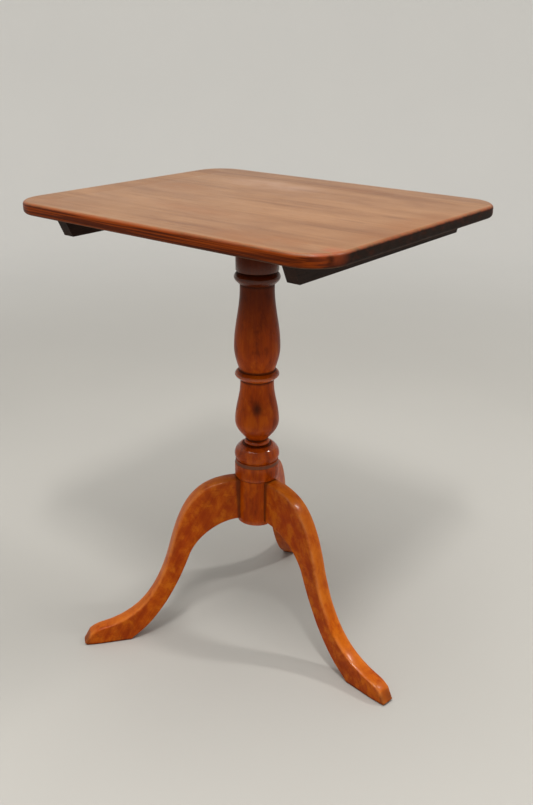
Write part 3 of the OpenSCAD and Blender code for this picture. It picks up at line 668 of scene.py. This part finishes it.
legs = {
    "turn": -7.5, "thickness": 26, "footThickness": 24, "top": 274, "root": 70, "reach": 288, "sole": 79,
    "toeHeight": 26, "heelPull": (46, 34), "heelTip": (1, 4), "browBack": 11, "browDrop": 5, "tipBack": 1.2,
    "tipHeight": 5, "inwardWay": 207, "outerKneeWay": 105, "innerKneeWay": 110, "outerCalfWay": -75,
    "innerCalfWay": -70, "instepWay": 169, "instepRise": 3, "glossAt": [(105, 60), (232, 50)], "crease": 50,
    "shinReach": 142, "shinHeight": 162, "shinDepth": 33, "kneeRun": 66, "outerKnee": 83, "outerCalf": 98,
    "instepPull": 54, "innerKnee": 30, "innerCalf": 52, "rootRun": 36, "instepBack": 29,
    "topArris": 3.6, "lowArris": 2.6, "crown": 1.2, "kneeSteps": 26, "shinSteps": 30, "footSteps": 7,
    "look": {"turn": (0, math.radians(-62), 0), "wander": 0.014, "bands": (4, 52, 52), "lines": (9, 210, 210),
             "fibres": (18, 700, 700), "pores": (44, 800, 800), "blotches": (10, 18, 18),
             "pale": tone(184, 84, 6), "mid": tone(166, 68, 2), "deep": tone(140, 50, 1),
             "blotch": tone(176, 64, 5), "blotchWeight": 0.6, "fibreWeight": 0.25,
             "poreColour": tone(110, 44, 6), "poreWeight": 0.3, "roughness": 0.32, "smear": 0.16,
             "depth": 0.0001, "coat": 0.03, "coatRoughness": 0.16, "shine": 0.08,
             "coatFollows": ("gloss", 0.55)},
    "golden": tone(200, 106, 14), "russet": tone(134, 42, 1), "rose": tone(162, 78, 36),
    "wornAndHighlight": tone(220, 138, 66), "grime": tone(90, 36, 8),
}


def legExtras(finish, colour, roughness, height):
    rub = finish.painted("rub")
    dirt = finish.painted("dirt")
    foot = finish.painted("foot")
    cloud = finish.cloud(finish.place(stretch=(30, 30, 30)), 3, 0.65)
    upper = finish.painted("upper")
    mottle = finish.cloud(finish.place(stretch=(64, 64, 46)), 4, 0.6, 0.2)
    flecks = finish.cloud(finish.place((0, math.radians(-62), 0), (70, 420, 420)), 2, 0.6)
    colour = finish.mix(finish.fade(mottle, 0.44, 0.7, 0, 0.62), colour, legs["golden"])
    colour = finish.mix(finish.fade(mottle, 0.5, 0.32, 0, 0.45), colour, legs["russet"])
    colour = finish.mix(finish.fade(flecks, 0.58, 0.7) * 0.45, colour, legs["russet"])
    # upper faces lighter: painted light from above
    colour = finish.mix(upper * finish.fade(cloud, 0.3, 0.6) * 0.5, colour, legs["golden"])
    colour = finish.mix(upper * foot * 0.6, colour, legs["rose"])
    # the upper arrises paler: wear and a painted highlight
    colour = finish.mix(rub * finish.fade(cloud, 0.3, 0.6) * 0.4, colour, legs["wornAndHighlight"])
    # darker where the leg meets the column: grime and painted shade
    colour = finish.mix(finish.fade(dirt + (cloud - 0.5) * 0.3, 0.2, 0.9) * 0.8, colour, legs["grime"])
    scuffs = finish.fade(finish.cloud(finish.place(stretch=(90, 90, 90)), 3, 0.7), 0.55, 0.7)
    colour = finish.mix(foot * scuffs * 0.6, colour, legs["grime"])
    soil = finish.fade(finish.painted("soil") + (cloud - 0.5) * 0.5, 0.35, 0.9)
    colour = finish.mix(soil * 0.85, colour, legs["grime"])
    roughness = roughness + foot * 0.1 + dirt * 0.15
    return colour, roughness, height


def legSides():  # matching points on the leg's upper and lower lines
    g = legs
    base = column["baseWidth"] / 2
    rootBottom = g["top"] - g["root"]
    heel = g["reach"] - g["sole"]
    outside = (g["shinReach"], g["shinHeight"])
    inside = plus(outside, polar(g["inwardWay"], g["shinDepth"]))
    instep = (g["reach"] - g["instepBack"], g["toeHeight"] + g["instepRise"])
    upper = curvePoints((base + 2, g["top"]), (base + g["kneeRun"], g["top"]),
                        plus(outside, polar(g["outerKneeWay"], g["outerKnee"])), outside, g["kneeSteps"])
    lower = curvePoints((base, rootBottom), (base + g["rootRun"], rootBottom),
                        plus(inside, polar(g["innerKneeWay"], g["innerKnee"])), inside, g["kneeSteps"])
    upper += curvePoints(outside, plus(outside, polar(g["outerCalfWay"], g["outerCalf"])),
                         plus(instep, polar(g["instepWay"], g["instepPull"])), instep, g["shinSteps"])[1:]
    pull, end = ((heel - back, height) for back, height in (g["heelPull"], g["heelTip"]))
    lower += curvePoints(inside, plus(inside, polar(g["innerCalfWay"], g["innerCalf"])), pull, end,
                         g["shinSteps"])[1:]
    brow = (g["reach"] - g["browBack"], g["toeHeight"] - g["browDrop"])
    foot = curvePoints(instep, plus(instep, polar(-11, 9)), plus(brow, (-3, 2)), brow, g["footSteps"])[1:]
    tip = (g["reach"] - g["tipBack"], g["tipHeight"])
    foot += [(brow[0] + (tip[0] - brow[0]) * f, brow[1] + (tip[1] - brow[1]) * f)
             for f in (0.12, 0.5, 0.85, 1)]
    sole = [(heel + 1.2, 1)]
    sole += [(heel + 3 + (g["reach"] - 9 - heel) * (k / (len(foot) - 2)), 0) for k in range(len(foot) - 1)]
    return upper + foot, lower + sole


def legSection(halfWidth, depth, topRound, lowRound, crown):
    topRound, lowRound = (min(r, depth * 0.42, halfWidth * 0.9) for r in (topRound, lowRound))
    upright = depth - topRound - lowRound
    made = []
    steps = 6
    for cx, cy, r, start in [(halfWidth - lowRound, lowRound, lowRound, -90),
                             (halfWidth - topRound, depth - topRound, topRound, 0),
                             (-halfWidth + topRound, depth - topRound, topRound, 90),
                             (-halfWidth + lowRound, lowRound, lowRound, 180)]:
        for i in range(steps + 1):
            a = math.radians(start + 90 * i / steps)
            made.append((cx + r * math.cos(a), cy + r * math.sin(a)))
        if start == 0:
            made += [(cx * f, depth) for f in (0.5, 0, -0.5)]
        elif start == -90:
            made += [(halfWidth, lowRound + upright * f) for f in (0.25, 0.5, 0.75)]
        elif start == 90:
            made += [(-halfWidth, depth - topRound - upright * f) for f in (0.25, 0.5, 0.75)]
        else:
            made += [(cx * f, 0) for f in (0.5, 0, -0.5)]
    bend = min(crown, depth * 0.1)
    return [(a, b - bend * (a / halfWidth) ** 2 * (b / depth) ** 2) for a, b in made]


def buildLeg(name, node, turn, finish, seed):
    g = legs
    upper, lower = legSides()
    base = column["baseWidth"] / 2 + column["fit"]
    rings, rub, dirt, foot, above, soil, gloss = [], [], [], [], [], [], []
    count = len(upper)
    for k, (u, l) in enumerate(zip(upper, lower)):
        depth = math.dist(u, l)
        way = ((u[0] - l[0]) / depth, (u[1] - l[1]) / depth)
        half = (g["thickness"] + (g["footThickness"] - g["thickness"]) * min(1, k / count * 1.2)) / 2
        if k > count - 4:
            half -= (k - count + 4) * 0.55
        section = legSection(half, depth, g["topArris"], g["lowArris"], g["crown"])
        ring = []
        for a, b in section:
            x, z = l[0] + way[0] * b, l[1] + way[1] * b
            shift = 0.35 * noise.noise(Vector((x / 30, a / 30 + seed, z / 30)))
            side = a + shift * (1 if a > 0 else -1) - math.copysign(0.3, a)
            if k == 0:
                x = math.sqrt(base ** 2 - side ** 2)
            ring.append((x * mm, side * mm, max(0.0, z) * mm))
            rub.append(max(0, 1 - math.dist((abs(a), b), (half - 1.6, depth - 1.6)) / 4))
            # darker within 5 mm of the column: grime and painted shade at the joint
            dirt.append(max(0, 1 - (x - base) / 5) if z < g["top"] + 1 else 0)
            foot.append(clamp((40 - z) / 40))
            above.append(1 if b > depth * 0.9 and abs(a) < half - 2 else 0)
            soil.append(max(0, min(1, (5 - z) / 4), min(1, (x - g["reach"] + 14) / 5) * 0.62))
            shown = sum(max(0, 1 - abs(x - at) / reach) for at, reach in g["glossAt"])
            gloss.append(rub[-1] ** 2 * min(1, 0.25 + shown) + above[-1] * 0.25 * shown)
        rings.append(ring)
    points, faces = bridgeRings(rings)
    inner = column["baseWidth"] / 2 - column["tongueDepth"]
    tongue = [(inner, -column["tongueWidth"] / 2), (base + 1, -column["tongueNeck"] / 2 + 0.2),
              (base + 1, column["tongueNeck"] / 2 - 0.2), (inner, column["tongueWidth"] / 2)]
    made, sides = wedgePrism(tongue, g["top"] - g["root"], column["tongueTop"] - column["fit"])
    faces += [tuple(i + len(points) for i in side) for side in sides]
    points += made
    extra = [0] * len(made)
    values = {"rub": rub, "dirt": dirt, "foot": foot, "upper": above, "soil": soil, "gloss": gloss}
    piece = makePiece(name, points, faces, [finish], g["crease"],
                      {key: worth + extra for key, worth in values.items()})
    piece.rotation_euler = (0, 0, math.radians(turn))
    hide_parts(node)
    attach(piece, "base")


buildColumn()
print("column turned")
legFinish = woodFinish("legWood", legs["look"], legExtras)
legNodes = [("legFront", "leg_front"), ("legRear", "leg_rear"), ("legLeft", "leg_left")]
for number, (name, node) in enumerate(legNodes):
    buildLeg(name, node, legs["turn"] + 120 * number, legFinish, 10 * number)
print("legs shaped")


# ---- block and bearers

darkWood = {
    "look": {"turn": (0, 0, math.radians(90)), "wander": 0.01, "bands": (3, 40, 40), "lines": (8, 170, 170),
             "fibres": (20, 640, 640), "pores": (44, 800, 800), "blotches": (12, 18, 18),
             "pale": tone(52, 31, 20), "mid": tone(40, 22, 14), "deep": tone(26, 13, 8),
             "blotch": tone(56, 34, 22), "blotchWeight": 0.5, "fibreWeight": 0.5,
             "poreColour": tone(18, 12, 10), "poreWeight": 0.6, "roughness": 0.55, "smear": 0.2,
             "depth": 0.0002, "coat": 0.0, "coatRoughness": 0.4, "shine": 0.12},
}
bearerFinish = woodFinish("bearerWood", darkWood["look"])
blockFinish = woodFinish("blockWood", {**darkWood["look"], "turn": (0, 0, 0)})
for node in ("bearer_left", "bearer_right"):
    softenCad(node, bearerFinish, 0.8 * mm)
softenCad("tilt_block", blockFinish, 0.8 * mm)
wedgeFinish = woodFinish("wedgeWood", {**legs["look"], "turn": (0, math.radians(90), 0),
                                       "pale": tone(190, 158, 112), "mid": tone(170, 136, 90),
                                       "deep": tone(140, 106, 66), "blotch": tone(150, 118, 76),
                                       "roughness": 0.6, "coat": 0.0})
softenCad("tenon_wedge", wedgeFinish, 0)
print("block and bearers finished")


# ---- brass and steel

def metalFinish(name, clean, dull, spots, roughness, brushed):
    finish = Finish(name)
    patina = finish.cloud(finish.place(stretch=(90, 90, 90)), 4, 0.65, 0.4)
    specks = finish.fade(finish.cloud(finish.place(stretch=(420, 420, 420)), 2), 0.6, 0.72)
    strokes = finish.cloud(finish.place(stretch=brushed), 2)
    colour = finish.mix(finish.fade(patina, 0.35, 0.68), clean, dull)
    colour = finish.mix(specks * 0.6, colour, spots)
    finish.relief(strokes * 0.6 - specks * 0.4, 0.00004)
    return finish.close(colour, roughness + (patina - 0.5) * 0.3 + specks * 0.2,
                        Metallic=1.0 - specks * 0.4 - finish.fade(patina, 0.5, 0.9) * 0.3)


brassFinish = metalFinish("agedBrass", tone(196, 158, 88), tone(120, 90, 46), tone(62, 44, 26), 0.36,
                          (60, 1500, 1500))
steelFinish = metalFinish("dullSteel", tone(150, 146, 140), tone(96, 88, 80), tone(88, 50, 30), 0.45,
                          (1500, 1500, 60))
for node, width in (("keeper_plate", 0.3), ("keeper_screws", 0.1), ("catch_plate", 0.3), ("catch_case", 0.25),
                    ("catch_screws", 0.1), ("catch_bolt", 0.4), ("catch_knob", 0.4)):
    softenCad(node, brassFinish, width * mm)
for node, width in (("pivot_pin_left", 0.3), ("pivot_pin_right", 0.3), ("bearer_screws", 0.1),
                    ("catch_spring", 0)):
    softenCad(node, steelFinish, width * mm)
print("metal finished")
